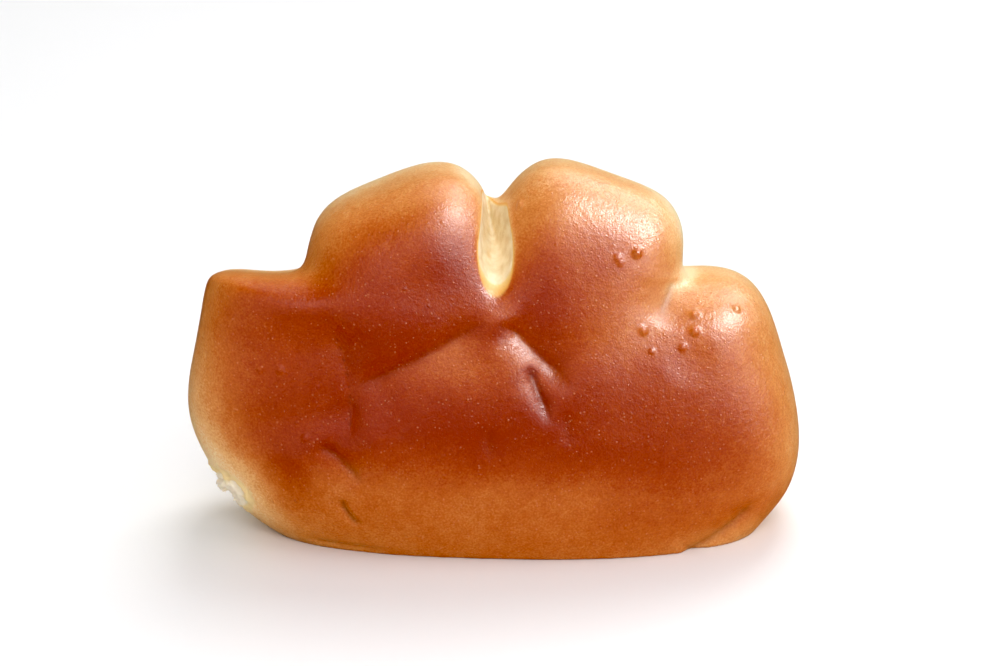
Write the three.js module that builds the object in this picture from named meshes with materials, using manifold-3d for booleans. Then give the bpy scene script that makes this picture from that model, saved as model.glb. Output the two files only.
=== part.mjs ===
// Cream bun: a half-moon of egg-washed dough with four stubby fingers, standing on its folded edge.
// Millimetres, +Z up. The domed browned face looks towards -Y, the flat baked bottom towards +Y.
import * as THREE from 'three';
import { mergeVertices } from 'three/addons/utils/BufferGeometryUtils.js';
import Module from 'manifold-3d';

// Overall sizes
const BAKED_BOTTOM_Y = 20.5; // plane that lay on the baking tray
const BAKED_BOTTOM_ROUND = 2.0; // rounding of the rim around the baked bottom
const SIDE_JOIN = 2.0; // softness of the joins between fingers at their sides
const FACE_JOIN = 3.6; // softness of the same joins on the domed face
const FACE_JOIN_START_Y = 9.0;
const FACE_JOIN_RUN = 18.0;

// The five swellings of the dough: centre, half width, half height above and below the centre,
// tilt in degrees, squareness of the outline, depth in front of and behind the centre, fullness
// from face to back where 2 is an ellipse, and lean, the rise for each millimetre towards the face
const SWELLINGS = {
  belly: {
    x: -1.2, y: 2, z: 21.1, width: 56.8, above: 30.7, below: 32.8,
    tilt: -8.4, square: 2.7, front: 20.5, behind: 34, fullness: 2.2, lean: 0,
  },
  outerLeft: {
    x: -27.8, y: 6, z: 40.9, width: 30.6, above: 7.4, below: 31.2,
    tilt: -13.1, square: 4.4, front: 19, behind: 32, fullness: 3.0, lean: 0.32,
  },
  innerLeft: {
    x: -16.1, y: 6, z: 53.8, width: 18.7, above: 18.4, below: 32.2,
    tilt: 22.4, square: 3.4, front: 19, behind: 32, fullness: 2.2, lean: 0.08,
  },
  innerRight: {
    x: 12.6, y: 6, z: 44.2, width: 19.1, above: 30.0, below: 23.8,
    tilt: -20.3, square: 4.1, front: 18.5, behind: 32, fullness: 2.2, lean: 0.08,
  },
  outerRight: {
    x: 35.7, y: 6, z: 34.1, width: 21.3, above: 16.5, below: 37.0,
    tilt: 17.3, square: 2.9, front: 18.5, behind: 32, fullness: 2.2, lean: 0.08,
  },
};

// Creases pressed into the face, each from one end to the other (x, z) and bowed to the left of
// that way by so much. The left and right flank fall off over their own widths, and the fades are
// the shares of the length over which the crease comes in and dies out.
const CREASES = {
  leftCrease: {
    from: [0.6, 51.4], to: [-25.2, 37.7], bow: -0.6, depth: 3.4, flanks: [9.0, 5.0], fades: [0.3, 0.15],
  },
  rightCrease: {
    from: [0.9, 50.6], to: [14.4, 37.4], bow: -0.6, depth: 3.0, flanks: [6.0, 2.2], fades: [0.3, 0.4],
  },
  rightWrinkle: {
    from: [5.6, 42.8], to: [11.2, 29.8], bow: 0, depth: 2.0, flanks: [2.2, 1.8], fades: [0.3, 0.6],
  },
  leftValley: {
    from: [-34.5, 54.5], to: [-29.0, 23.0], bow: 3.0, depth: 2.6, flanks: [5.0, 14.0], fades: [0.35, 0.3],
  },
  leftTuck: {
    from: [-35.5, 25.6], to: [-26.0, 16.8], bow: 1.1, depth: 1.4, flanks: [2.0, 2.2], fades: [0.3, 0.3],
  },
  rightValley: {
    from: [35.2, 58.0], to: [32.6, 50.0], bow: 0.2, depth: 1.4, flanks: [2.2, 2.6], fades: [0.4, 0.5],
  },
  lowFold: {
    from: [52.5, 11.0], to: [37.0, -0.5], bow: 1.2, depth: 1.8, flanks: [1.4, 2.4], fades: [0.3, 0.1],
  },
};
const CREASE_FLOOR = 0.8; // rounding of the crease floors
const FACE_EDGE_Y = 9.0; // creases start here and are full further forward
const FACE_EDGE_RUN = 10.0;

// Torn patch at the lower left, where ragged crumb shows
const TEAR = {
  x: -51, y: 2, z: 11.5, halfWidth: 9, halfDepth: 13, halfHeight: 8, edge: 0.3, sink: 0.2, crag: 0.8,
};
const TEAR_WAVE = 1.9; // waves of the crags, radians a millimetre
const TEAR_SLANT = 0.6; // how far the waves lean towards the face

// Cut between the two middle fingers: a round-bottomed scoop that narrows upwards and to the back
const SLIT_FRONT = new THREE.Vector3(0.2, -14.0, 53.0);
const SLIT_BACK = new THREE.Vector3(-1.0, 20.0, 66.0);
const SLIT_SPREAD = 3.7; // half width at the face
const SLIT_BACK_SHARE = 0.3; // share of that width left at the back
const SLIT_ROUND = 3.0; // height of the round bottom
const SLIT_ROUND_STEPS = 5;
const SLIT_HEIGHT = 34.0;
const SLIT_TOP_SHARE = 0.225; // share of the width left at that height
const SLIT_OVERRUN = 6.0; // length past the face and past the back

// Flat right wall of the cut: a point on it, and how it closes towards the back and opens upwards
const SLIT_WALL = new THREE.Vector3(3.5, -12.0, 57.5);
const SLIT_WALL_CLOSING = 0.25;
const SLIT_WALL_OPENING = 0.15;

// Mesh of the dough: a box of cells pushed out from the heart of the bun
const HEART = new THREE.Vector3(0, 3, 32);
const BOX_SIZE = new THREE.Vector3(120, 44, 74);
const BOX_CELLS = [52, 15, 34];
const CENTRE_CROWDING = 1.15; // above 1 draws the columns of cells towards the middle
const REACH_MIN = 4.0;
const REACH_MAX = 110.0;
const REACH_HALVINGS = 30;
const TINY = 1e-6;
const BLOCK_SIZE = 400.0; // blocks that trim the base and the slit

const CRUST_COLOUR = 0xa9501f;
const CRUST_ROUGHNESS = 0.3;

function smoothStep(share) {
  const held = THREE.MathUtils.clamp(share, 0, 1);
  return held * held * (3 - 2 * held);
}

// Distance from a point to one swelling, negative inside
function swellingDistance(point, swelling) {
  const tilt = THREE.MathUtils.degToRad(swelling.tilt);
  const dx = point.x - swelling.x;
  const dy = point.y - swelling.y;
  const dz = point.z - swelling.z + swelling.lean * dy;
  const across = dx * Math.cos(tilt) + dz * Math.sin(tilt);
  const along = dz * Math.cos(tilt) - dx * Math.sin(tilt);
  const height = along > 0 ? swelling.above : swelling.below;
  const depth = dy < 0 ? swelling.front : swelling.behind;
  const a = Math.abs(across) / swelling.width + TINY;
  const b = Math.abs(along) / height + TINY;
  const c = Math.abs(dy) / depth + TINY;
  const { square, fullness } = swelling;
  const outline = (a ** square + b ** square) ** (1 / square);
  const whole = (outline ** fullness + c ** fullness) ** (1 / fullness);
  const outlineShare = (outline / whole) ** (fullness - 1);
  const slopeAcross = (outlineShare * (a / outline) ** (square - 1)) / swelling.width;
  const slopeAlong = (outlineShare * (b / outline) ** (square - 1)) / height;
  const slopeDepth = (c / whole) ** (fullness - 1) / depth;
  return (whole - 1) / Math.hypot(slopeAcross, slopeAlong, slopeDepth);
}

// Least of several distances, with the joins softened
function softLeast(distances, softness) {
  const least = Math.min(...distances);
  const shares = distances.map((distance) => Math.exp((least - distance) / softness));
  return least - softness * Math.log(shares.reduce((total, share) => total + share, 0));
}

// How far one crease sinks the face at a point
function creaseDepth(point, crease) {
  const [startX, startZ] = crease.from;
  const [endX, endZ] = crease.to;
  const length = Math.hypot(endX - startX, endZ - startZ);
  const wayX = (endX - startX) / length;
  const wayZ = (endZ - startZ) / length;
  const place = ((point.x - startX) * wayX + (point.z - startZ) * wayZ) / length;
  const fade = smoothStep(place / crease.fades[0]) * smoothStep((1 - place) / crease.fades[1]);
  const bowed = 4 * crease.bow * place * (1 - place);
  const aside = wayX * (point.z - startZ) - wayZ * (point.x - startX) - bowed;
  const flank = aside > 0 ? crease.flanks[0] : crease.flanks[1];
  const fromFloor = Math.hypot(aside, CREASE_FLOOR) - CREASE_FLOOR;
  return crease.depth * fade * Math.exp(-fromFloor / flank);
}

// How far all the creases together sink the face at a point
function faceDepth(point) {
  const onFace = smoothStep((FACE_EDGE_Y - point.y) / FACE_EDGE_RUN);
  const depths = Object.values(CREASES).map((crease) => creaseDepth(point, crease));
  return onFace * depths.reduce((total, depth) => total + depth, 0);
}

// How far the torn patch sinks, with crags
function tearDepth(point) {
  const reach = Math.hypot(
    (point.x - TEAR.x) / TEAR.halfWidth,
    (point.y - TEAR.y) / TEAR.halfDepth,
    (point.z - TEAR.z) / TEAR.halfHeight,
  );
  const inside = smoothStep((1 - reach) / TEAR.edge);
  const sideWave = Math.sin(TEAR_WAVE * (point.x + point.y));
  const upWave = Math.sin(TEAR_WAVE * (point.z - TEAR_SLANT * point.y));
  return inside * (TEAR.sink + TEAR.crag * sideWave * upWave);
}

// The dough as a distance, negative inside
function doughDistance(point) {
  const forward = smoothStep((FACE_JOIN_START_Y - point.y) / FACE_JOIN_RUN);
  const softness = THREE.MathUtils.lerp(SIDE_JOIN, FACE_JOIN, forward);
  const distances = Object.values(SWELLINGS).map((swelling) => swellingDistance(point, swelling));
  const swollen = softLeast(distances, softness) + faceDepth(point) + tearDepth(point);
  return -softLeast([-swollen, BAKED_BOTTOM_Y - point.y], BAKED_BOTTOM_ROUND);
}

// Surface point of the dough straight out from the heart
function pushOut(direction) {
  let near = REACH_MIN;
  let far = REACH_MAX;
  const probe = new THREE.Vector3();
  for (let halving = 0; halving < REACH_HALVINGS; halving += 1) {
    const middle = (near + far) / 2;
    probe.copy(HEART).addScaledVector(direction, middle);
    if (doughDistance(probe) < 0) {
      near = middle;
    } else {
      far = middle;
    }
  }
  return probe.copy(HEART).addScaledVector(direction, (near + far) / 2);
}

// Closed skin of the dough before the slit is cut and the base is trimmed
function doughGeometry() {
  const box = new THREE.BoxGeometry(BOX_SIZE.x, BOX_SIZE.y, BOX_SIZE.z, ...BOX_CELLS);
  box.deleteAttribute('normal');
  box.deleteAttribute('uv');
  const skin = mergeVertices(box);
  const position = skin.attributes.position;
  const direction = new THREE.Vector3();
  const halfWidth = BOX_SIZE.x / 2;
  for (let index = 0; index < position.count; index += 1) {
    direction.fromBufferAttribute(position, index);
    const crowded = (Math.abs(direction.x) / halfWidth) ** CENTRE_CROWDING;
    direction.x = Math.sign(direction.x) * halfWidth * crowded;
    const placed = pushOut(direction.normalize());
    position.setXYZ(index, placed.x, placed.y, placed.z);
  }
  return skin;
}

// Scoop-shaped bar that cuts the slit, its rounded floor along the slit's own, narrower at the back
function scoopGeometry() {
  const walls = [];
  for (let step = 1; step <= SLIT_ROUND_STEPS; step += 1) {
    const turn = ((Math.PI / 2) * step) / SLIT_ROUND_STEPS;
    walls.push(new THREE.Vector2(SLIT_SPREAD * Math.sin(turn), SLIT_ROUND * (1 - Math.cos(turn))));
  }
  walls.push(new THREE.Vector2(SLIT_SPREAD * SLIT_TOP_SHARE, SLIT_HEIGHT));
  const profile = new THREE.Shape();
  profile.moveTo(0, 0);
  walls.forEach((wall) => profile.lineTo(wall.x, wall.y));
  walls.reverse().forEach((wall) => profile.lineTo(-wall.x, wall.y));
  profile.closePath();
  const run = new THREE.Vector3().subVectors(SLIT_BACK, SLIT_FRONT);
  const depth = run.length() + 2 * SLIT_OVERRUN;
  const bar = new THREE.ExtrudeGeometry(profile, { depth, bevelEnabled: false });
  const position = bar.attributes.position;
  for (let index = 0; index < position.count; index += 1) {
    const closing = (run.length() + SLIT_OVERRUN - position.getZ(index)) / run.length();
    position.setX(index, position.getX(index) * (1 - (1 - SLIT_BACK_SHARE) * closing));
  }
  const forward = run.clone().normalize();
  const sideways = new THREE.Vector3().crossVectors(forward, new THREE.Vector3(0, 0, 1)).normalize();
  const upward = new THREE.Vector3().crossVectors(sideways, forward);
  const backward = forward.clone().negate();
  const start = SLIT_BACK.clone().addScaledVector(forward, SLIT_OVERRUN);
  bar.applyMatrix4(new THREE.Matrix4().makeBasis(sideways, upward, backward).setPosition(start));
  return bar;
}

// Block of dough to the right of the slit's flat wall, which the scoop leaves standing
function wallGeometry() {
  const block = new THREE.BoxGeometry(BLOCK_SIZE, BLOCK_SIZE, BLOCK_SIZE);
  const outward = new THREE.Vector3(1, SLIT_WALL_CLOSING, -SLIT_WALL_OPENING).normalize();
  const backward = new THREE.Vector3().crossVectors(new THREE.Vector3(0, 0, 1), outward).normalize();
  const upward = new THREE.Vector3().crossVectors(outward, backward);
  const centre = SLIT_WALL.clone().addScaledVector(outward, BLOCK_SIZE / 2);
  block.applyMatrix4(new THREE.Matrix4().makeBasis(outward, backward, upward).setPosition(centre));
  return block;
}

// Everything below the folded edge the bun stands on
function groundGeometry() {
  const ground = new THREE.BoxGeometry(BLOCK_SIZE, BLOCK_SIZE, BLOCK_SIZE);
  ground.translate(0, 0, -BLOCK_SIZE / 2);
  return ground;
}

const wasm = await Module();
wasm.setup();

function toSolid(geometry) {
  const bare = geometry.clone();
  bare.deleteAttribute('normal');
  bare.deleteAttribute('uv');
  const welded = mergeVertices(bare);
  const mesh = new wasm.Mesh({
    numProp: 3,
    vertProperties: new Float32Array(welded.attributes.position.array),
    triVerts: new Uint32Array(welded.index.array),
  });
  return new wasm.Manifold(mesh);
}

function toGeometry(solid) {
  const mesh = solid.getMesh();
  const geometry = new THREE.BufferGeometry();
  geometry.setAttribute('position', new THREE.BufferAttribute(new Float32Array(mesh.vertProperties), 3));
  geometry.setIndex(new THREE.BufferAttribute(new Uint32Array(mesh.triVerts), 1));
  return geometry;
}

const slit = toSolid(scoopGeometry()).subtract(toSolid(wallGeometry()));
const bunSolid = toSolid(doughGeometry()).subtract(slit).subtract(toSolid(groundGeometry()));
const bunGeometry = toGeometry(bunSolid);
bunGeometry.computeBoundingBox();
const middle = bunGeometry.boundingBox.getCenter(new THREE.Vector3());
bunGeometry.translate(-middle.x, -middle.y, 0);
bunGeometry.computeVertexNormals();

const crust = new THREE.MeshStandardMaterial({
  color: CRUST_COLOUR,
  roughness: CRUST_ROUGHNESS,
  metalness: 0,
});
const bun = new THREE.Mesh(bunGeometry, crust);
bun.name = 'bun';

const creamBun = new THREE.Group();
creamBun.name = 'cream_bun';
creamBun.add(bun);

export default creamBun;
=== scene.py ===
"""Looks of the cream bun: its dough, its browned crust and the studio around it.

The dough's forms are worked out in millimetres and its mesh, lamps and camera are in metres.
"""

import logging
import math
from dataclasses import dataclass
from enum import Enum

import bpy
import numpy as np
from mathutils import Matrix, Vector, noise

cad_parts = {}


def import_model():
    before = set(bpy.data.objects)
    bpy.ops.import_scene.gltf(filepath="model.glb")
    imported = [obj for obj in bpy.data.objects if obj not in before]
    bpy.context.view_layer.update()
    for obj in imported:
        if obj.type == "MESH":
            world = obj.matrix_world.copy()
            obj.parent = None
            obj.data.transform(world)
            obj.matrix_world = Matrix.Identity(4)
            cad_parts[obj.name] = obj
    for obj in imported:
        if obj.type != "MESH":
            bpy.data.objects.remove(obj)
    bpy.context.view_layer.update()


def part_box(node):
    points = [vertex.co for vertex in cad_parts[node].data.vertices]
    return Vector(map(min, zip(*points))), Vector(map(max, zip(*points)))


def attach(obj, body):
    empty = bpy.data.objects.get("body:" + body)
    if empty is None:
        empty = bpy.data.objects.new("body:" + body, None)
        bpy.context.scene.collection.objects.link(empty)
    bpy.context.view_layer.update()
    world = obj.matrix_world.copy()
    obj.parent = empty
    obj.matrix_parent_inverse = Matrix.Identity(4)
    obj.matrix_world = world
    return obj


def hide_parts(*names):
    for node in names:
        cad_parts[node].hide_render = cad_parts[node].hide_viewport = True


LOG = logging.getLogger("cream_bun")
MM = 0.001
TINY = 1e-6
NODE = "bun"
BODY = "root"
SCREEN_FULL = 255.0
SCREEN_TOE = 0.04045
SCREEN_TOE_SLOPE = 12.92
SCREEN_OFFSET = 0.055
SCREEN_POWER = 2.4

Socket = bpy.types.NodeSocket
Screen = tuple[int, int, int]
Stops = tuple[tuple[float, Screen], ...]


class Maths(Enum):
    """Sums that a material works out with one maths node."""

    ADD = "ADD"
    SUBTRACT = "SUBTRACT"
    MULTIPLY = "MULTIPLY"
    MAXIMUM = "MAXIMUM"


class Mask(Enum):
    """Values that each point of the skin carries for the crust's finish."""

    # Browning, with painted light and painted shade laid in at places.
    BAKE_AND_LIGHT = "bake"
    CRUMB = "crumb"
    # Painted shade along the bottoms of the creases.
    FOLD_SHADE = "fold"
    MATT = "matt"
    TORN = "torn"
    TRAY = "tray"


class LampUse(Enum):
    """What a studio lamp is for: shading the crust or putting a sheen on it."""

    SHADE = "shade"
    SHEEN = "sheen"


def smooth_step(share: np.ndarray) -> np.ndarray:
    """Ease a share from 0 to 1, held at both ends."""
    held = np.clip(share, 0.0, 1.0)
    return held * held * (3.0 - 2.0 * held)


def soft_least(distances: np.ndarray, softness: np.ndarray | float) -> np.ndarray:
    """Take the least of several distances, with the joins softened.

    Args:
        distances: One row of distances for each form.
        softness: Width of the softened join.

    Returns:
        The softened least distance of each point.
    """
    least = distances.min(axis=0)
    total = np.exp((least - distances) / softness).sum(axis=0)
    return least - softness * np.log(total)


def linear(red: int, green: int, blue: int) -> tuple[float, float, float, float]:
    """Turn a screen colour of 0 to 255 into the linear colour that a shader takes.

    Args:
        red: Red part of the screen colour.
        green: Green part of the screen colour.
        blue: Blue part of the screen colour.

    Returns:
        The linear colour with full alpha.
    """
    parts = []
    for part in (red, green, blue):
        share = part / SCREEN_FULL
        curved = ((share + SCREEN_OFFSET) / (1.0 + SCREEN_OFFSET)) ** SCREEN_POWER
        parts.append(share / SCREEN_TOE_SLOPE if share <= SCREEN_TOE else curved)
    return parts[0], parts[1], parts[2], 1.0


def soft_noise(points: np.ndarray, size: float) -> np.ndarray:
    """Make smooth noise from -1 to 1, in bumps of about that size in millimetres."""
    return np.array([noise.noise(Vector(point)) for point in points / size])


def out_of_oval(points: np.ndarray, centre: tuple, reach: tuple) -> np.ndarray:
    """Give how far points lie from an oval's middle, 1 at its edge."""
    return np.linalg.norm((points - np.array(centre)) / np.array(reach), axis=1)


@dataclass(frozen=True)
class Swelling:
    """One swelling of the dough, a rounded block with its own outline and depth, in millimetres."""

    x: float
    y: float
    z: float
    width: float
    above: float
    below: float
    tilt: float
    square: float
    front: float
    behind: float
    depth_round: float = 2.2
    lean: float = 0.0

    def distance(self, points: np.ndarray) -> np.ndarray:
        """Measure how far points lie outside this swelling.

        Args:
            points: Places in millimetres, one a row.

        Returns:
            Distances, negative inside.
        """
        turn = math.radians(self.tilt)
        dx, dy, dz = (points - (self.x, self.y, self.z)).T
        dz = dz + self.lean * dy
        across = dx * math.cos(turn) + dz * math.sin(turn)
        along = dz * math.cos(turn) - dx * math.sin(turn)
        height = np.where(along > 0.0, self.above, self.below)
        depth = np.where(dy < 0.0, self.front, self.behind)
        wide = np.abs(across) / self.width + TINY
        high = np.abs(along) / height + TINY
        deep = np.abs(dy) / depth + TINY
        outline = (wide**self.square + high**self.square) ** (1.0 / self.square)
        whole = (outline**self.depth_round + deep**self.depth_round) ** (1.0 / self.depth_round)
        share = (outline / whole) ** (self.depth_round - 1.0)
        slope_across = share * (wide / outline) ** (self.square - 1.0) / self.width
        slope_along = share * (high / outline) ** (self.square - 1.0) / height
        slope_depth = (deep / whole) ** (self.depth_round - 1.0) / depth
        return (whole - 1.0) / np.sqrt(slope_across**2 + slope_along**2 + slope_depth**2)


@dataclass(frozen=True)
class Crease:
    """A crease pressed into the face between two ends (x, z), bowed to the left of its way."""

    start: tuple[float, float]
    end: tuple[float, float]
    bow: float
    depth: float
    left_flank: float
    right_flank: float
    fade_in: float
    fade_out: float
    floor: float = 0.3
    # Width of the painted shade along the crease bottom, and the depth at which it is full.
    fold_shade_width: float = 0.9
    full_fold_shade: float = 2.0

    def lay(self, points: np.ndarray) -> tuple[np.ndarray, np.ndarray]:
        """Find how points lie to the crease.

        Args:
            points: Places in millimetres, one a row.

        Returns:
            Distances to the left of the crease's line, and its strength from 0 to 1 beside each point.
        """
        way = np.subtract(self.end, self.start)
        length = float(np.hypot(*way))
        way = way / length
        reach = points[:, [0, 2]] - self.start
        place = reach @ way / length
        bowed = 4.0 * self.bow * place * (1.0 - place)
        aside = way[0] * reach[:, 1] - way[1] * reach[:, 0] - bowed
        strength = smooth_step(place / self.fade_in) * smooth_step((1.0 - place) / self.fade_out)
        return aside, strength

    def depth_at(self, points: np.ndarray) -> np.ndarray:
        """Work out how far this crease sinks the face.

        Args:
            points: Places in millimetres, one a row.

        Returns:
            Depths in millimetres.
        """
        aside, strength = self.lay(points)
        flank = np.where(aside > 0.0, self.left_flank, self.right_flank)
        from_floor = np.hypot(aside, self.floor) - self.floor
        return self.depth * strength * np.exp(-from_floor / flank)

    def fold_shade_at(self, points: np.ndarray) -> np.ndarray:
        """Give 1 along the bottom of the crease, easing to 0 on its flanks.

        Args:
            points: Places in millimetres, one a row.

        Returns:
            Values from 0 to 1 for painted shade, weaker where the crease is shallow.
        """
        aside, strength = self.lay(points)
        deep_share = min(1.0, self.depth / self.full_fold_shade)
        return deep_share * strength * np.exp(-((aside / self.fold_shade_width) ** 2))


@dataclass(frozen=True)
class Slit:
    """The cut between the two middle fingers: a round-bottomed scoop, its right wall flat."""

    front: tuple[float, float, float] = (0.2, -14.0, 54.3)
    back: tuple[float, float, float] = (-1.0, 20.0, 66.0)
    spread: float = 3.7
    rounding: float = 7.0
    narrowing: float = 0.05
    back_share: float = 0.3
    wall: tuple[float, float, float] = (3.5, -12.0, 57.5)
    wall_closing: float = 0.25
    wall_opening: float = 0.15

    def scoop(self, points: np.ndarray) -> np.ndarray:
        """Measure how far points lie inside the scoop.

        Args:
            points: Places in millimetres, one a row.

        Returns:
            Distances, positive inside the scoop.
        """
        run = np.subtract(self.back, self.front)
        length = np.linalg.norm(run)
        forward = run / length
        sideways = np.cross(forward, (0.0, 0.0, 1.0))
        sideways /= np.linalg.norm(sideways)
        upward = np.cross(sideways, forward)
        reach = points - self.front
        aside = np.abs(reach @ sideways)
        height = reach @ upward
        closing = np.clip(reach @ forward / length, 0.0, 1.0)
        open_share = 1.0 - (1.0 - self.back_share) * closing
        narrowed = 1.0 - self.narrowing * np.maximum(height - self.rounding, 0.0)
        half_width = self.spread * open_share * narrowed
        bottom = np.maximum(1.0 - height / self.rounding, 0.0)
        return half_width - np.hypot(aside, half_width * bottom)

    def overlap(self, points: np.ndarray) -> np.ndarray:
        """Measure how far points lie inside the cut.

        Args:
            points: Places in millimetres, one a row.

        Returns:
            Distances, positive inside the cut.
        """
        x, y, z = (points - self.wall).T
        from_wall = self.wall_opening * z - self.wall_closing * y - x
        return np.minimum(self.scoop(points), from_wall)


@dataclass(frozen=True)
class Tear:
    """The torn patch at the lower left, where ragged crumb shows."""

    centre: tuple[float, float, float] = (-51.0, 2.0, 11.5)
    reach: tuple[float, float, float] = (9.0, 13.0, 8.0)
    edge: float = 0.3
    sink: float = 0.2
    crag: float = 1.8
    crag_size: float = 1.7
    crag_roughness: float = 0.8
    crag_finer: float = 2.0
    crag_layers: int = 3

    def share(self, points: np.ndarray) -> np.ndarray:
        """Give 1 inside the patch, easing to 0 at its edge."""
        return smooth_step((1.0 - out_of_oval(points, self.centre, self.reach)) / self.edge)

    def depth_at(self, points: np.ndarray) -> np.ndarray:
        """Work out how far the patch sinks, with its crags.

        Args:
            points: Places in millimetres, one a row.

        Returns:
            Depths in millimetres.
        """
        depth = self.share(points)
        torn = np.flatnonzero(depth)
        crags = [
            noise.fractal(Vector(point), self.crag_roughness, self.crag_finer, self.crag_layers)
            for point in points[torn] / self.crag_size
        ]
        depth[torn] *= self.sink + self.crag * np.array(crags)
        return depth


@dataclass(frozen=True)
class Blister:
    """A small dome of crust on the face at (x, z), or a dent where the height is negative."""

    x: float
    z: float
    radius: float
    height: float
    face_edge: float = 6.0

    def seat(self, points: np.ndarray) -> np.ndarray:
        """Find the point of the face that the blister sits on."""
        face = points[points[:, 1] < self.face_edge]
        return face[np.argmin(np.hypot(face[:, 0] - self.x, face[:, 2] - self.z))]

    def height_at(self, points: np.ndarray) -> np.ndarray:
        """Give the dome's height at each point of the skin."""
        out = np.linalg.norm(points - self.seat(points), axis=1) / self.radius
        return self.height * np.maximum(1.0 - out * out, 0.0) ** 2


SeatedBlisters = dict[tuple[float, float, float], Blister]


@dataclass(frozen=True)
class Dough:
    """The whole bun as a distance: swellings joined, creased, cut flat behind and below, and slit."""

    baked_bottom: float = 20.5
    rim_round: float = 2.0
    slit_round: float = 0.5
    side_join: float = 2.0
    face_join: float = 3.6
    face_join_start: float = 9.0
    face_join_run: float = 18.0
    face_edge: float = 9.0
    face_edge_run: float = 10.0
    slit: Slit = Slit()
    tear: Tear = Tear()
    swellings: tuple[Swelling, ...] = (
        # Belly along the folded edge.
        Swelling(
            x=-1.2, y=2.0, z=21.1, width=56.8, above=30.7, below=32.8,
            tilt=-8.4, square=2.7, front=20.5, behind=34.0,
        ),
        # Outer finger on the left, squared off at its corner.
        Swelling(
            x=-27.8, y=6.0, z=40.9, width=30.6, above=7.4, below=31.2,
            tilt=-13.1, square=5.2, front=19.0, behind=32.0, depth_round=3.0, lean=0.32,
        ),
        # Middle finger left of the slit.
        Swelling(
            x=-16.1, y=6.0, z=53.8, width=18.7, above=18.4, below=32.2,
            tilt=22.4, square=3.4, front=18.6, behind=32.0, depth_round=2.5, lean=0.08,
        ),
        # Middle finger right of the slit.
        Swelling(
            x=12.6, y=6.0, z=44.2, width=19.1, above=30.0, below=23.8,
            tilt=-20.3, square=4.1, front=18.5, behind=32.0, lean=0.08,
        ),
        # Outer finger on the right.
        Swelling(
            x=35.7, y=6.0, z=34.1, width=21.3, above=16.5, below=37.0,
            tilt=17.3, square=2.9, front=18.5, behind=32.0, lean=0.08,
        ),
    )
    creases: tuple[Crease, ...] = (
        # Left fold of the pinch under the slit.
        Crease(
            (0.6, 51.4), (-29.5, 35.4), bow=0.4, depth=2.4, left_flank=8.0, right_flank=4.0,
            fade_in=0.3, fade_out=0.25, floor=0.6, full_fold_shade=6.0,
        ),
        # Right fold of the pinch.
        Crease(
            (0.9, 50.6), (15.8, 36.4), bow=-0.6, depth=2.4, left_flank=3.4, right_flank=2.2,
            fade_in=0.25, fade_out=0.35, floor=0.4, full_fold_shade=5.0,
        ),
        # Short fold that branches off down the face.
        Crease(
            (5.6, 42.2), (11.4, 28.8), bow=0.0, depth=1.7, left_flank=1.7, right_flank=1.1,
            fade_in=0.3, fade_out=0.45,
        ),
        # Dip down the middle of the pinch.
        Crease(
            (1.0, 51.0), (1.7, 43.5), bow=0.0, depth=0.4, left_flank=1.5, right_flank=1.5,
            fade_in=0.3, fade_out=0.5,
        ),
        # Valley between the two fingers on the left, and the tuck at its foot.
        Crease(
            (-34.5, 54.5), (-29.0, 23.0), bow=3.0, depth=3.0, left_flank=4.5, right_flank=20.0,
            fade_in=0.35, fade_out=0.3, fold_shade_width=0.05,
        ),
        Crease(
            (-35.5, 25.6), (-26.0, 16.8), bow=1.1, depth=1.4, left_flank=2.0, right_flank=2.2,
            fade_in=0.3, fade_out=0.3,
        ),
        # Valley between the two fingers on the right.
        Crease(
            (34.9, 55.6), (31.4, 47.4), bow=0.0, depth=1.1, left_flank=2.0, right_flank=3.0,
            fade_in=0.3, fade_out=0.4, floor=1.2,
        ),
        # Fold under the right end.
        Crease(
            (52.5, 11.0), (37.0, -0.5), bow=1.2, depth=1.3, left_flank=1.4, right_flank=2.4,
            fade_in=0.3, fade_out=0.1,
        ),
        # Crack in the crust at the lower left, and the lip along the base below it.
        Crease(
            (-30.4, 14.0), (-26.4, 7.2), bow=-0.7, depth=0.8, left_flank=0.4, right_flank=0.5,
            fade_in=0.2, fade_out=0.3, fold_shade_width=0.5, full_fold_shade=0.7,
        ),
        Crease(
            (-37.0, 2.2), (-22.0, 1.4), bow=-0.2, depth=0.5, left_flank=0.5, right_flank=0.6,
            fade_in=0.2, fade_out=0.3, fold_shade_width=0.5,
        ),
        # Two shallow dents in the belly.
        Crease(
            (-1.6, 31.0), (-0.8, 22.5), bow=0.0, depth=0.45, left_flank=1.2, right_flank=1.6,
            fade_in=0.4, fade_out=0.4,
        ),
        Crease(
            (13.2, 33.5), (14.6, 25.0), bow=0.0, depth=0.45, left_flank=2.4, right_flank=1.4,
            fade_in=0.4, fade_out=0.4, floor=0.6,
        ),
    )

    def face_depth(self, points: np.ndarray) -> np.ndarray:
        """Add up how far the creases sink the face at each point."""
        on_face = smooth_step((self.face_edge - points[:, 1]) / self.face_edge_run)
        return on_face * sum(crease.depth_at(points) for crease in self.creases)

    def distance(self, points: np.ndarray) -> np.ndarray:
        """Measure how far points lie outside the bun.

        Args:
            points: Places in millimetres, one a row.

        Returns:
            Distances, negative inside.
        """
        forward = smooth_step((self.face_join_start - points[:, 1]) / self.face_join_run)
        softness = self.side_join + (self.face_join - self.side_join) * forward
        forms = np.stack([swelling.distance(points) for swelling in self.swellings])
        swollen = soft_least(forms, softness) + self.face_depth(points) + self.tear.depth_at(points)
        cut = np.stack([-swollen, self.baked_bottom - points[:, 1]])
        dough = soft_least(cut, self.rim_round)
        slit = np.stack([dough, -self.slit.overlap(points)])
        return np.maximum(-soft_least(slit, self.slit_round), -points[:, 2])


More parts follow.
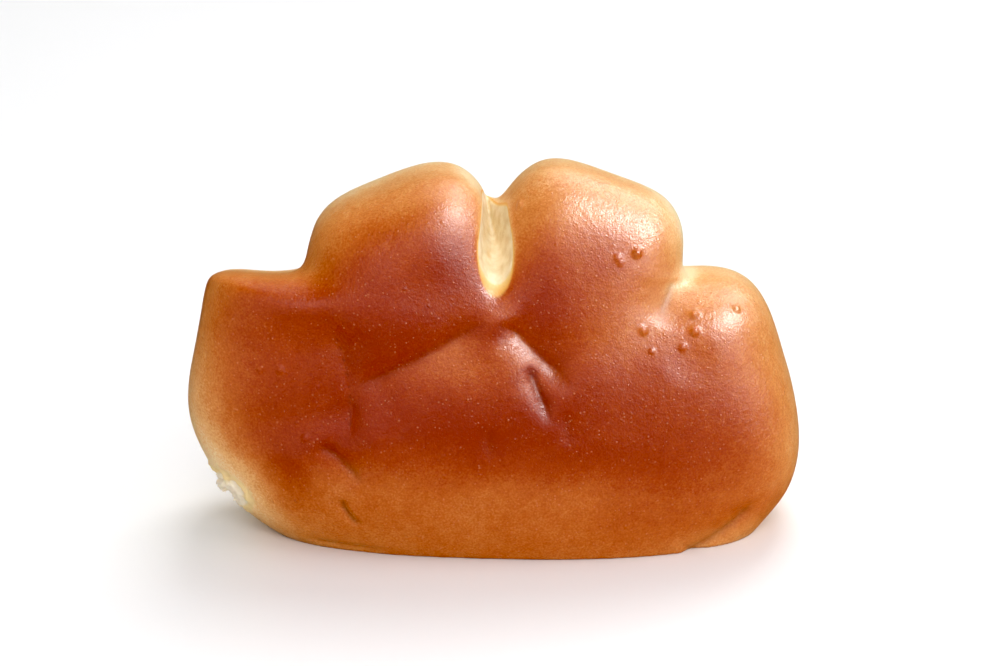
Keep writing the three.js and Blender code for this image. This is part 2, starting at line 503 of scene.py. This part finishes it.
@dataclass(frozen=True)
class Skin:
    """A closed net of four-cornered faces laid on the dough, from a block of small cells."""

    low: tuple[float, float, float] = (-66.0, -25.0, -1.5)
    high: tuple[float, float, float] = (65.0, 23.0, 78.0)
    cell: float = 0.56
    settling_rounds: int = 3
    settling_steps: int = 2
    probe: float = 0.02
    least_slope: float = 0.25

    def sampled(self, dough: Dough) -> np.ndarray:
        """Measure the dough's distance at every corner of the block's cells.

        Args:
            dough: The bun's form.

        Returns:
            Distances over the block.
        """
        axes = [np.arange(low, high, self.cell) for low, high in zip(self.low, self.high)]
        across, up = (grid.ravel() for grid in np.meshgrid(axes[1], axes[2], indexing="ij"))
        slices = []
        for x in axes[0]:
            points = np.stack([np.full(across.size, x), across, up], axis=1)
            slices.append(dough.distance(points).reshape(axes[1].size, axes[2].size))
        return np.stack(slices)

    def net(self, dough: Dough) -> tuple[np.ndarray, np.ndarray]:
        """Put one point in each cell that the skin passes through and join them up.

        Args:
            dough: The bun's form.

        Returns:
            Places in millimetres, one a row, and faces as rows of four points.
        """
        values = self.sampled(dough)
        shape = np.array(values.shape)
        totals = np.zeros((values.size, 3))
        counts = np.zeros(values.size)
        faces = []
        for axis in range(3):
            near = np.moveaxis(values, axis, 0)[:-1]
            far = np.moveaxis(values, axis, 0)[1:]
            crossed = np.argwhere((near < 0.0) != (far < 0.0))
            start = near[tuple(crossed.T)]
            end = far[tuple(crossed.T)]
            corner = np.insert(crossed[:, 1:], axis, crossed[:, 0], axis=1)
            place = corner.astype(float)
            place[:, axis] += start / (start - end)
            aside, upward = np.eye(3, dtype=int)[[(axis + 1) % 3, (axis + 2) % 3]]
            ring = [corner - aside - upward, corner - upward, corner, corner - aside]
            cells = [np.ravel_multi_index(tuple(step.T), shape) for step in ring]
            for cell in cells:
                np.add.at(totals, cell, place)
                np.add.at(counts, cell, 1.0)
            quads = np.stack(cells, axis=1)
            faces.append(np.where((start < 0.0)[:, None], quads, quads[:, ::-1]))
        used = np.flatnonzero(counts)
        numbers = np.zeros(values.size, int)
        numbers[used] = np.arange(used.size)
        places = totals[used] / counts[used, None] * self.cell + self.low
        return places, numbers[np.concatenate(faces)]

    def onto(self, dough: Dough, points: np.ndarray) -> np.ndarray:
        """Move points straight onto the dough's surface.

        Args:
            dough: The bun's form.
            points: Places in millimetres, one a row.

        Returns:
            The moved places.
        """
        for _ in range(self.settling_steps):
            here = dough.distance(points)
            ahead = [dough.distance(points + step) for step in self.probe * np.eye(3)]
            slope = (np.stack(ahead, axis=1) - here[:, None]) / self.probe
            steepness = np.maximum((slope**2).sum(axis=1, keepdims=True), self.least_slope)
            points = points - here[:, None] * slope / steepness
        return points

    def lay(self, dough: Dough) -> tuple[np.ndarray, np.ndarray]:
        """Lay the net and even out its cells.

        Args:
            dough: The bun's form.

        Returns:
            Places on the skin in millimetres, one a row, and faces as rows of four points.
        """
        points, faces = self.net(dough)
        points = self.onto(dough, points)
        for _ in range(self.settling_rounds):
            totals = np.zeros_like(points)
            counts = np.zeros(len(points))
            middles = points[faces].mean(axis=1)
            for corner in range(4):
                np.add.at(totals, faces[:, corner], middles)
                np.add.at(counts, faces[:, corner], 1.0)
            points = self.onto(dough, totals / counts[:, None])
        return points, faces

    @staticmethod
    def normals(points: np.ndarray, faces: np.ndarray) -> np.ndarray:
        """Average the directions of the faces around each point.

        Args:
            points: Places on the skin, one a row.
            faces: Rows of four point numbers.

        Returns:
            Unit outward directions, one a row.
        """
        corners = points[faces]
        flat = np.cross(corners[:, 2] - corners[:, 0], corners[:, 3] - corners[:, 1])
        total = np.zeros_like(points)
        for corner in range(4):
            np.add.at(total, faces[:, corner], flat)
        return total / np.maximum(np.linalg.norm(total, axis=1, keepdims=True), TINY)


@dataclass(frozen=True)
class Patch:
    """A soft oval of the skin that is browner or duller, or less so where the change is negative."""

    centre: tuple[float, float, float]
    reach: tuple[float, float, float]
    change: float
    edge: float = 1.0

    def change_at(self, points: np.ndarray) -> np.ndarray:
        """Give the change at each point."""
        out = out_of_oval(points, self.centre, self.reach)
        return self.change * smooth_step((1.0 - out) / self.edge)


@dataclass(frozen=True)
class Browning:
    """How dark the oven baked each part of the bun, from 0 for pale dough to 1 for red brown, with some
    painted light and shade laid into the same values.
    """

    least: float = 0.05
    side_start: float = 4.0
    side_run: float = 24.0
    side_bake: float = 0.45
    crown_start: float = 26.0
    crown_run: float = 11.0
    crown_bake: float = 0.5
    right_start: float = 8.0
    right_run: float = 22.0
    right_pale: float = 0.12
    low_zone: float = 27.5
    low_run: float = 14.0
    low_pale: float = 0.42
    low_drop: float = 4.5
    wobble: float = 3.0
    wobble_size: float = 11.0
    tear_halo: float = 2.0
    slit_halo: float = 1.6
    slit_pale: float = 0.5
    crumb_start: float = 0.6
    crumb_run: float = 0.4
    lip_back: float = -8.0
    lip_run: float = 3.0
    lip_rise: float = 0.4
    lip_tint: float = 0.62
    tray_start: float = 0.86
    tray_run: float = 0.1
    patches: tuple[Patch, ...] = (
        # Dark lower left, pale left end and a dark left corner.
        Patch((-41.0, 0.0, 14.5), (10.0, 90.0, 10.0), 0.2),
        Patch((-58.0, 0.0, 27.0), (17.0, 90.0, 24.0), -0.25),
        Patch((-59.0, 0.0, 54.0), (4.0, 90.0, 3.0), 0.5),
        # Darker low down on the right.
        Patch((54.0, 0.0, 9.0), (20.0, 90.0, 13.0), 0.3),
        Patch((32.0, 0.0, 10.0), (22.0, 90.0, 14.0), 0.2),
        # Middle fingers, darker on their fronts and beside the slit.
        Patch((9.0, -20.0, 57.0), (8.0, 40.0, 14.0), 0.15),
        Patch((22.0, -8.0, 63.0), (12.0, 14.0, 9.0), 0.16),
        # Painted shade on the left middle finger beside the slit, damping its sheen.
        Patch((-8.0, -9.0, 61.0), (9.0, 11.0, 10.0), 0.2),
        # Pale valleys between the fingers, and a paler cheek on the right.
        Patch((35.0, 8.0, 62.0), (10.0, 16.0, 14.0), -0.35),
        Patch((34.0, 9.0, 54.0), (8.0, 17.0, 6.0), -0.35, 0.6),
        Patch((-5.0, 8.0, 70.0), (6.0, 14.0, 7.0), -0.25),
        Patch((0.5, 0.0, 51.8), (5.0, 90.0, 4.5), -0.15),
        Patch((22.0, -10.0, 47.0), (15.0, 40.0, 12.0), -0.15),
    )
    # The faces of the pinch, paler where they look up: partly a paler bake below the crease, partly
    # painted light on the up-facing faces.
    pale_and_lit_shoulder: Patch = Patch((-3.0, -15.0, 40.5), (27.0, 60.0, 12.5), -0.38)
    pale_and_lit_rise: float = 0.45
    # Where the egg wash is thin and the skin duller.
    thin_wash: tuple[Patch, ...] = (
        Patch((-8.0, -4.0, 66.5), (8.0, 20.0, 8.0), 0.4),
        Patch((7.0, -16.0, 40.0), (8.0, 20.0, 9.0), 0.3),
        Patch((33.0, -4.0, 53.0), (5.0, 20.0, 7.0), 0.6, 0.6),
    )

    def oven_bake(self, dough: Dough, points: np.ndarray) -> np.ndarray:
        """Work out the browning by the oven alone, darkest on the crown and paler low down.

        Args:
            dough: The bun's form.
            points: Places on the skin in millimetres, one a row.

        Returns:
            One value a point.
        """
        x, y, z = points.T
        from_tray = dough.baked_bottom - y
        side = np.clip((from_tray - self.side_start) / self.side_run, 0.0, 1.0)
        crown = smooth_step((from_tray - self.crown_start) / self.crown_run)
        bake = self.least + self.side_bake * side + self.crown_bake * crown
        to_right = smooth_step((x - self.right_start) / self.right_run)
        waves = self.wobble * soft_noise(points, self.wobble_size)
        low_edge = self.low_zone - self.low_drop * to_right + waves
        low = smooth_step((low_edge - z) / self.low_run)
        return bake * (1.0 - self.right_pale * to_right) * (1.0 - self.low_pale * low)

    def lip_at(self, points: np.ndarray, normals: np.ndarray) -> np.ndarray:
        """Give 1 on skin of the face that turns up, as the slit's lower lip does."""
        on_face = smooth_step((self.lip_back - points[:, 1]) / self.lip_run)
        return on_face * smooth_step(normals[:, 2] / self.lip_rise)

    def masks(self, dough: Dough, points: np.ndarray, normals: np.ndarray) -> dict[Mask, np.ndarray]:
        """Work out the values that the crust's finish reads.

        Args:
            dough: The bun's form.
            points: Places on the skin in millimetres, one a row.
            normals: Outward directions, one a row.

        Returns:
            One value a point for each mask.
        """
        bake = self.oven_bake(dough, points)
        bake += sum(patch.change_at(points) for patch in self.patches)
        # Paler where the pinch's faces look up: partly a real paler bake, partly painted light.
        bake += self.pale_and_lit_shoulder.change_at(points) * smooth_step(normals[:, 2] / self.pale_and_lit_rise)
        bake *= smooth_step(out_of_oval(points, dough.tear.centre, dough.tear.reach) / self.tear_halo)
        cut = dough.slit.overlap(points)
        lip = self.lip_at(points, normals)
        halo = smooth_step((cut + self.slit_halo) / self.slit_halo) * (1.0 - lip)
        in_slit = smooth_step((cut + self.crumb_start) / self.crumb_run) * (1.0 - self.lip_tint * lip)
        torn = dough.tear.share(points)
        # Painted shade along the crease bottoms, on the front half only.
        crease_shades = [crease.fold_shade_at(points) for crease in dough.creases]
        return {
            Mask.BAKE_AND_LIGHT: bake * (1.0 - self.slit_pale * halo),
            Mask.FOLD_SHADE: np.max(crease_shades, axis=0) * (points[:, 1] < 0.0),
            Mask.CRUMB: np.maximum(in_slit, torn),
            Mask.MATT: sum(patch.change_at(points) for patch in self.thin_wash),
            Mask.TORN: torn,
            Mask.TRAY: smooth_step((normals[:, 1] - self.tray_start) / self.tray_run),
        }


@dataclass(frozen=True)
class Cloud:
    """A soft noise over the crust: the size of its lumps, its detail and how much it counts."""

    size_mm: float
    detail: float
    share: float


@dataclass(frozen=True)
class Scatter:
    """Round dots over the crust: spacing, largest radius and share of it filled, and their relief."""

    spacing_mm: float
    radius: float
    filled: float
    relief: float


class NodeDesk:
    """Puts shader nodes on one material and links them up."""

    MIX_SHARE = 0
    MIX_FIRST = 6
    MIX_SECOND = 7
    MIX_COLOUR = 2

    def __init__(self, material: bpy.types.Material) -> None:
        """Clear the material's nodes and keep its tree.

        Args:
            material: The material to work on.
        """
        material.use_nodes = True
        self.tree = material.node_tree
        self.tree.nodes.clear()

    def node(self, kind: str, **settings: object) -> bpy.types.Node:
        """Add a node.

        Args:
            kind: Blender's name for the node.
            settings: Properties to set on it.

        Returns:
            The new node.
        """
        made = self.tree.nodes.new(kind)
        for name, value in settings.items():
            setattr(made, name, value)
        return made

    def feed(self, socket: Socket, value: object) -> None:
        """Link a socket into an input, or set a plain value on it.

        Args:
            socket: The input.
            value: A socket to link, or the value to set.
        """
        if isinstance(value, Socket):
            self.tree.links.new(value, socket)
        else:
            socket.default_value = value

    def maths(self, sum_kind: Maths, first: object, second: object) -> Socket:
        """Work out one sum of two values.

        Args:
            sum_kind: The sum.
            first: A socket or number.
            second: A socket or number.

        Returns:
            The socket that holds the result.
        """
        made = self.node("ShaderNodeMath", operation=sum_kind.value)
        self.feed(made.inputs[0], first)
        self.feed(made.inputs[1], second)
        return made.outputs[0]

    def ease(self, value: Socket, low: object, high: object) -> Socket:
        """Ease a value from 0 at low to 1 at high.

        Args:
            value: The socket that holds the value.
            low: Where the result is 0, as a socket or number.
            high: Where the result is 1, as a socket or number.

        Returns:
            The socket that holds the eased value.
        """
        made = self.node("ShaderNodeMapRange", interpolation_type="SMOOTHSTEP")
        self.feed(made.inputs["Value"], value)
        self.feed(made.inputs["From Min"], low)
        self.feed(made.inputs["From Max"], high)
        return made.outputs["Result"]

    def mask(self, mask: Mask) -> Socket:
        """Read one of the skin's own values."""
        return self.node("ShaderNodeAttribute", attribute_name=mask.value).outputs["Fac"]

    def speckle(self, place: Socket, cloud: Cloud) -> Socket:
        """Make a soft noise from 0 to 1.

        Args:
            place: Where the crust lies.
            cloud: The size of the noise and its detail.

        Returns:
            The socket that holds the noise.
        """
        made = self.node("ShaderNodeTexNoise")
        self.feed(made.inputs["Vector"], place)
        self.feed(made.inputs["Scale"], 1.0 / (cloud.size_mm * MM))
        self.feed(made.inputs["Detail"], cloud.detail)
        return made.outputs["Fac"]

    def dots(self, place: Socket, scatter: Scatter) -> Socket:
        """Scatter round dots of several sizes.

        Args:
            place: Where the crust lies.
            scatter: The dots' spacing, radius and share of places filled.

        Returns:
            A value of 1 in the middle of each dot and 0 between dots.
        """
        cells = self.node("ShaderNodeTexVoronoi")
        self.feed(cells.inputs["Vector"], place)
        self.feed(cells.inputs["Scale"], 1.0 / (scatter.spacing_mm * MM))
        drawn = self.node("ShaderNodeSeparateColor")
        self.feed(drawn.inputs[0], cells.outputs["Color"])
        reach = self.maths(Maths.MULTIPLY, drawn.outputs[1], scatter.radius)
        dot = self.ease(cells.outputs["Distance"], reach, 0.0)
        strength = self.ease(drawn.outputs[0], 1.0 - scatter.filled, 1.0)
        return self.maths(Maths.MULTIPLY, dot, strength)

    def bubble(self, place: Socket, seat: tuple, rim: float, crown: float) -> Socket:
        """Mark the round of one blister.

        Args:
            place: Where the crust lies.
            seat: The blister's middle in metres.
            rim: Radius in metres where the blister starts.
            crown: Radius in metres where it is at its full height.

        Returns:
            A value of 1 on the blister and 0 around it.
        """
        gap = self.node("ShaderNodeVectorMath", operation="DISTANCE")
        self.feed(gap.inputs[0], place)
        self.feed(gap.inputs[1], seat)
        return self.ease(gap.outputs["Value"], rim, crown)

    def mix(self, share: object, first: object, second: object) -> Socket:
        """Mix two colours.

        Args:
            share: How much of the second colour, as a socket or number.
            first: A socket or colour.
            second: A socket or colour.

        Returns:
            The socket that holds the mixed colour.
        """
        made = self.node("ShaderNodeMix", data_type="RGBA")
        self.feed(made.inputs[self.MIX_SHARE], share)
        self.feed(made.inputs[self.MIX_FIRST], first)
        self.feed(made.inputs[self.MIX_SECOND], second)
        return made.outputs[self.MIX_COLOUR]

    def ramp(self, value: Socket, stops: Stops) -> Socket:
        """Turn a value into a colour.

        Args:
            value: The socket that holds the value.
            stops: Places from 0 to 1 in rising order, each with its screen colour.

        Returns:
            The socket that holds the colour.
        """
        made = self.node("ShaderNodeValToRGB")
        elements = made.color_ramp.elements
        while len(elements) < len(stops):
            elements.new(0.5)
        for element, (place, colour) in zip(elements, stops):
            element.position = place
            element.color = linear(*colour)
        self.feed(made.inputs[0], value)
        return made.outputs[0]


@dataclass(frozen=True)
class CrustFinish:
    """Egg-washed crust: pale dough to red brown, finely speckled, with a satin gloss."""

    name: str = "egg_washed_crust"
    roughness: float = 0.32
    dry_roughness: float = 0.75
    specular: float = 0.58
    subsurface: float = 0.12
    subsurface_mm: tuple[float, float, float] = (4.0, 1.6, 0.7)
    blotch: Cloud = Cloud(16.0, 2.0, 0.16)
    mottle: Cloud = Cloud(2.4, 3.0, 0.18)
    grain: Cloud = Cloud(0.42, 2.0, 0.4)
    noise_middle: float = 0.5
    peel: Cloud = Cloud(0.34, 2.0, 1.0)
    ripples: Cloud = Cloud(1.3, 1.0, 1.3)
    domes: Scatter = Scatter(2.4, 0.28, 0.7, 1.5)
    specks: Scatter = Scatter(0.7, 0.5, 0.8, 0.9)
    relief_mm: float = 0.09
    bubble_relief: float = 5.0
    bubble_rim: float = 0.95
    bubble_crown: float = 0.2
    # Pale specks: partly paler skin over tiny bubbles, partly painted glints.
    speck_and_glint_tint: float = 0.5
    fold_shade_tint: float = 0.5
    torn_full: float = 0.15
    rim_full: float = 0.4
    inside_start: float = 0.7
    baked: Stops = (
        (0.0, (252, 226, 178)),
        (0.2, (239, 184, 122)),
        (0.4, (216, 137, 70)),
        (0.6, (193, 98, 36)),
        (0.8, (169, 65, 15)),
        (1.0, (149, 43, 6)),
    )
    bottom: Stops = ((0.25, (164, 98, 46)), (0.75, (198, 132, 72)))
    inside: Stops = ((0.3, (225, 200, 152)), (0.65, (246, 230, 197)))
    rim: Stops = ((0.35, (232, 172, 84)), (0.8, (238, 206, 138)), (1.0, (240, 214, 168)))
    # Colour of the specks: paler skin, and partly painted glints.
    speck_and_glint_colour: Screen = (222, 140, 92)
    # Colour of the painted shade in the crease bottoms.
    fold_shade_colour: Screen = (96, 26, 4)
    torn_colour: Screen = (249, 234, 208)
    torn_rim_colour: Screen = (243, 212, 152)

    def outer_colour(self, desk: NodeDesk, place: Socket, mottle: Socket, specks: Socket) -> Socket:
        """Colour the crust, with pale specks partly painted as glints, painted shade in the creases,
        and the baked bottom.

        Args:
            desk: The desk of the crust's material.
            place: Where the crust lies.
            mottle: The mottling noise.
            specks: The scattered specks.

        Returns:
            The socket that holds the colour.
        """
        blotch = desk.speckle(place, self.blotch)
        grain = desk.speckle(place, self.grain)
        bake = desk.mask(Mask.BAKE_AND_LIGHT)
        for value, cloud in ((blotch, self.blotch), (mottle, self.mottle), (grain, self.grain)):
            centred = desk.maths(Maths.SUBTRACT, value, self.noise_middle)
            bake = desk.maths(Maths.ADD, bake, desk.maths(Maths.MULTIPLY, centred, cloud.share))
        crust = desk.ramp(bake, self.baked)
        # Pale specks, partly painted glints.
        specked_and_glinting = desk.maths(Maths.MULTIPLY, specks, self.speck_and_glint_tint)
        crust = desk.mix(specked_and_glinting, crust, linear(*self.speck_and_glint_colour))
        # Painted shade in the crease bottoms.
        crease_shaded = desk.maths(Maths.MULTIPLY, desk.mask(Mask.FOLD_SHADE), self.fold_shade_tint)
        crust = desk.mix(crease_shaded, crust, linear(*self.fold_shade_colour))
        return desk.mix(desk.mask(Mask.TRAY), crust, desk.ramp(mottle, self.bottom))

    def inner_colour(self, desk: NodeDesk, mottle: Socket) -> Socket:
        """Colour the pale bread in the slit and the tear, with an amber rim around it.

        Args:
            desk: The desk of the crust's material.
            mottle: The mottling noise.

        Returns:
            The socket that holds the colour.
        """
        crumb = desk.mask(Mask.CRUMB)
        torn = desk.ease(desk.mask(Mask.TORN), 0.0, self.torn_full)
        inside = desk.mix(torn, desk.ramp(mottle, self.inside), linear(*self.torn_colour))
        rim = desk.mix(torn, desk.ramp(crumb, self.rim), linear(*self.torn_rim_colour))
        return desk.mix(desk.ease(crumb, self.inside_start, 1.0), rim, inside)

    def gloss(self, desk: NodeDesk) -> Socket:
        """Roughen the baked bottom, the bread inside and the skin with little egg wash.

        Args:
            desk: The desk of the crust's material.

        Returns:
            The socket that holds the roughness.
        """
        dry = desk.maths(Maths.MAXIMUM, desk.mask(Mask.TRAY), desk.mask(Mask.CRUMB))
        dry = desk.maths(Maths.MAXIMUM, dry, desk.mask(Mask.MATT))
        extra = desk.maths(Maths.MULTIPLY, dry, self.dry_roughness - self.roughness)
        return desk.maths(Maths.ADD, extra, self.roughness)

    def relief(self, desk: NodeDesk, place: Socket, specks: Socket, blisters: SeatedBlisters) -> Socket:
        """Raise the crust's fine peel, ripples, domes and specks, and sharpen its blisters.

        Args:
            desk: The desk of the crust's material.
            place: Where the crust lies.
            specks: The scattered specks.
            blisters: The blisters by their seats in metres.

        Returns:
            The socket that holds the bumped direction.
        """
        layers = [(desk.speckle(place, cloud), cloud.share) for cloud in (self.peel, self.ripples)]
        layers.append((desk.dots(place, self.domes), self.domes.relief))
        layers.append((specks, self.specks.relief))
        for seat, blister in blisters.items():
            radius = blister.radius * MM
            bubble = desk.bubble(place, seat, self.bubble_rim * radius, self.bubble_crown * radius)
            layers.append((bubble, self.bubble_relief * blister.height))
        height: object = 0.0
        for layer, share in layers:
            height = desk.maths(Maths.ADD, height, desk.maths(Maths.MULTIPLY, layer, share))
        bump = desk.node("ShaderNodeBump")
        desk.feed(bump.inputs["Height"], height)
        desk.feed(bump.inputs["Distance"], self.relief_mm * MM)
        return bump.outputs[0]

    def material(self, blisters: SeatedBlisters) -> bpy.types.Material:
        """Build the crust's material.

        Args:
            blisters: The blisters whose rims it sharpens, by their seats in metres.

        Returns:
            The new material.
        """
        material = bpy.data.materials.new(self.name)
        desk = NodeDesk(material)
        place = desk.node("ShaderNodeTexCoord").outputs["Object"]
        mottle = desk.speckle(place, self.mottle)
        specks = desk.dots(place, self.specks)
        opened = desk.ease(desk.mask(Mask.CRUMB), 0.0, self.rim_full)
        crust = self.outer_colour(desk, place, mottle, specks)
        shader = desk.node("ShaderNodeBsdfPrincipled")
        desk.feed(shader.inputs["Base Color"], desk.mix(opened, crust, self.inner_colour(desk, mottle)))
        desk.feed(shader.inputs["Roughness"], self.gloss(desk))
        desk.feed(shader.inputs["Normal"], self.relief(desk, place, specks, blisters))
        desk.feed(shader.inputs["Specular IOR Level"], self.specular)
        desk.feed(shader.inputs["Subsurface Weight"], self.subsurface)
        desk.feed(shader.inputs["Subsurface Radius"], [reach * MM for reach in self.subsurface_mm])
        desk.feed(shader.inputs["Subsurface Scale"], 1.0)
        output = desk.node("ShaderNodeOutputMaterial")
        desk.feed(output.inputs["Surface"], shader.outputs[0])
        return material


@dataclass(frozen=True)
class Bun:
    """The cream bun itself, one piece of dough with its crust."""

    dough: Dough = Dough()
    skin: Skin = Skin()
    browning: Browning = Browning()
    finish: CrustFinish = CrustFinish()
    blisters: tuple[Blister, ...] = (
        # Middle finger right of the slit, and beside the slit's top.
        Blister(27.2, 62.0, 1.4, 0.7),
        Blister(23.2, 61.6, 1.1, 0.35),
        Blister(23.9, 60.6, 1.0, 0.3),
        Blister(4.6, 69.9, 1.2, 0.45),
        # Right end.
        Blister(28.6, 47.4, 1.3, 0.5),
        Blister(38.7, 49.5, 1.4, 0.6),
        Blister(38.6, 46.8, 1.4, 0.6),
        Blister(36.3, 44.0, 1.2, 0.4),
        Blister(47.0, 49.6, 1.2, 0.4),
        Blister(29.9, 43.7, 1.0, 0.35),
        # Left end.
        Blister(-41.5, 39.6, 1.3, 0.25),
        Blister(-45.4, 39.8, 1.1, 0.18),
        Blister(-37.1, 26.2, 1.1, 0.25),
        # Shallow dent on the right end.
        Blister(38.0, 42.0, 6.5, -0.8),
    )
    swell_mm: float = 0.1
    swell_size_mm: float = 7.0

    def shape(self) -> tuple[np.ndarray, np.ndarray]:
        """Form the dough and raise its small relief.

        Returns:
            Places on the skin in millimetres, and faces as rows of four points.
        """
        points, faces = self.skin.lay(self.dough)
        normals = self.skin.normals(points, faces)
        lift = self.swell_mm * soft_noise(points, self.swell_size_mm)
        lift += sum(blister.height_at(points) for blister in self.blisters)
        lift[points[:, 2] < self.skin.cell] = 0.0
        return points + normals * lift[:, None], faces

    def build(self) -> bpy.types.Object:
        """Make the bun's mesh in the CAD frame and dress it.

        Returns:
            The new object.
        """
        points, faces = self.shape()
        normals = self.skin.normals(points, faces)
        masks = self.browning.masks(self.dough, points, normals)
        low, high = (np.array(corner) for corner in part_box(NODE))
        shift = (low + high) / 2.0 - (points.min(axis=0) + points.max(axis=0)) / 2.0 * MM
        shift[2] = low[2]
        mesh = bpy.data.meshes.new("cream_bun")
        mesh.from_pydata((points * MM + shift).tolist(), [], faces.tolist())
        mesh.shade_smooth()
        for mask, values in masks.items():
            layer = mesh.attributes.new(mask.value, "FLOAT", "POINT")
            layer.data.foreach_set("value", values.astype(np.float32))
        raised = [blister for blister in self.blisters if blister.height > 0.0]
        seats = {tuple(blister.seat(points) * MM + shift): blister for blister in raised}
        mesh.materials.append(self.finish.material(seats))
        piece = bpy.data.objects.new("cream_bun", mesh)
        bpy.context.scene.collection.objects.link(piece)
        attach(piece, BODY)
        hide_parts(NODE)
        return piece


@dataclass(frozen=True)
class SoftBox:
    """A soft square studio lamp that points at the bun.

    Angles are in degrees, azimuth 0 in front of the face and 90 to its right. Sizes are in metres.
    """

    name: str
    azimuth: float
    elevation: float
    size: float
    power: float
    use: LampUse = LampUse.SHADE
    distance: float = 0.95
    aim: tuple[float, float, float] = (0.0, 0.0, 0.035)

    def build(self) -> bpy.types.Object:
        """Hang the lamp.

        Returns:
            The new lamp.
        """
        lamp = bpy.data.lights.new(self.name, "AREA")
        lamp.size = self.size
        lamp.energy = self.power
        hung = bpy.data.objects.new(self.name, lamp)
        turn = math.radians(self.azimuth)
        lift = math.radians(self.elevation)
        level = math.cos(lift)
        way = Vector((math.sin(turn) * level, -math.cos(turn) * level, math.sin(lift)))
        hung.location = Vector(self.aim) + way * self.distance
        hung.rotation_euler = way.to_track_quat("Z", "Y").to_euler()
        hung.visible_diffuse = self.use is LampUse.SHADE
        hung.visible_glossy = self.use is LampUse.SHEEN
        bpy.context.scene.collection.objects.link(hung)
        return hung


@dataclass(frozen=True)
class Studio:
    """A white table top under a bright even ceiling, with soft lamps."""

    floor_half: float = 3.0
    floor_colour: tuple[float, float, float, float] = (0.91, 0.91, 0.915, 1.0)
    floor_roughness: float = 0.45
    sky: float = 0.43
    sky_colour: tuple[float, float, float, float] = (1.0, 1.0, 1.0, 1.0)
    black_level: float = 0.022
    # Each lamp's name, azimuth, elevation, size, power and use.
    lamps: tuple[SoftBox, ...] = (
        SoftBox("right_shade", 75.0, 48.0, 0.6, 1.45),
        SoftBox("low_right_shade", 40.0, 20.0, 0.4, 1.39),
        SoftBox("front_shade", 0.0, 40.0, 0.5, 2.9),
        SoftBox("top_shade", 0.0, 85.0, 0.5, 1.08),
        SoftBox("back_shade", 165.0, 60.0, 0.5, 4.1),
        SoftBox("rim_shade", 125.0, 15.0, 0.5, 1.0),
        SoftBox("backdrop_shade", 180.0, 75.0, 0.8, 1.0, LampUse.SHADE, 0.6, (0.0, 0.55, 0.0)),
        SoftBox("left_sheen", -40.0, 6.0, 1.0, 1.3, LampUse.SHEEN),
        SoftBox("front_sheen", -10.0, 28.0, 0.5, 0.8, LampUse.SHEEN),
        SoftBox("right_sheen", 72.0, 47.0, 0.4, 16.5, LampUse.SHEEN),
        SoftBox("low_right_sheen", 40.0, 20.0, 0.4, 4.4, LampUse.SHEEN),
        SoftBox("side_sheen", 65.0, 5.0, 0.4, 2.1, LampUse.SHEEN),
        SoftBox("far_side_sheen", 105.0, 25.0, 0.4, 1.0, LampUse.SHEEN),
        SoftBox("high_sheen", 30.0, 48.0, 0.4, 1.5, LampUse.SHEEN),
        SoftBox("back_right_sheen", 135.0, 45.0, 0.5, 4.7, LampUse.SHEEN),
        SoftBox("back_sheen", 165.0, 60.0, 0.5, 4.6, LampUse.SHEEN),
    )

    def floor(self) -> bpy.types.Object:
        """Lay the table top.

        Returns:
            The new floor.
        """
        half = self.floor_half
        corners = [(-half, -half, 0.0), (half, -half, 0.0), (half, half, 0.0), (-half, half, 0.0)]
        mesh = bpy.data.meshes.new("table_top")
        mesh.from_pydata(corners, [], [(0, 1, 2, 3)])
        material = bpy.data.materials.new("white_table")
        material.use_nodes = True
        shader = material.node_tree.nodes["Principled BSDF"]
        shader.inputs["Base Color"].default_value = self.floor_colour
        shader.inputs["Roughness"].default_value = self.floor_roughness
        mesh.materials.append(material)
        floor = bpy.data.objects.new("table_top", mesh)
        floor.visible_glossy = False
        bpy.context.scene.collection.objects.link(floor)
        return floor

    def light(self) -> None:
        """Light the room and hang the lamps."""
        world = bpy.data.worlds.new("studio")
        world.use_nodes = True
        background = world.node_tree.nodes["Background"]
        background.inputs["Color"].default_value = self.sky_colour
        background.inputs["Strength"].default_value = self.sky
        world.cycles_visibility.glossy = False
        bpy.context.scene.world = world
        view = bpy.context.scene.view_settings
        view.view_transform = "Standard"
        view.use_curve_mapping = True
        view.curve_mapping.black_level = (self.black_level,) * 3
        view.curve_mapping.update()
        for lamp in self.lamps:
            lamp.build()


@dataclass(frozen=True)
class PhotoCamera:
    """The camera, a little above the bun and square on to its face."""

    lens_mm: float = 100.0
    sensor_mm: float = 36.0
    elevation: float = 21.5
    target: tuple[float, float, float] = (0.00115, 0.0, 0.042)
    distance: float = 0.549
    nearest: float = 0.01

    def build(self) -> bpy.types.Object:
        """Set up the camera and make it the scene's own.

        Returns:
            The new camera.
        """
        lens = bpy.data.cameras.new("photo_camera")
        lens.lens = self.lens_mm
        lens.sensor_width = self.sensor_mm
        lens.clip_start = self.nearest
        camera = bpy.data.objects.new("photo_camera", lens)
        lift = math.radians(self.elevation)
        back = Vector((0.0, -math.cos(lift), math.sin(lift)))
        camera.location = Vector(self.target) + back * self.distance
        camera.rotation_euler = (math.pi / 2.0 - lift, 0.0, 0.0)
        bpy.context.scene.collection.objects.link(camera)
        bpy.context.scene.camera = camera
        return camera


def main() -> None:
    """Load the frame, build the camera, the bun and its studio, and log their names and the bun's face
    count.
    """
    logging.basicConfig(level=logging.INFO)
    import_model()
    camera = PhotoCamera().build()
    LOG.info("camera %s", camera.name)
    bun = Bun().build()
    LOG.info("piece %s with %d faces", bun.name, len(bun.data.polygons))
    studio = Studio()
    floor = studio.floor()
    LOG.info("stage %s", floor.name)
    studio.light()


if __name__ == "__main__":
    main()
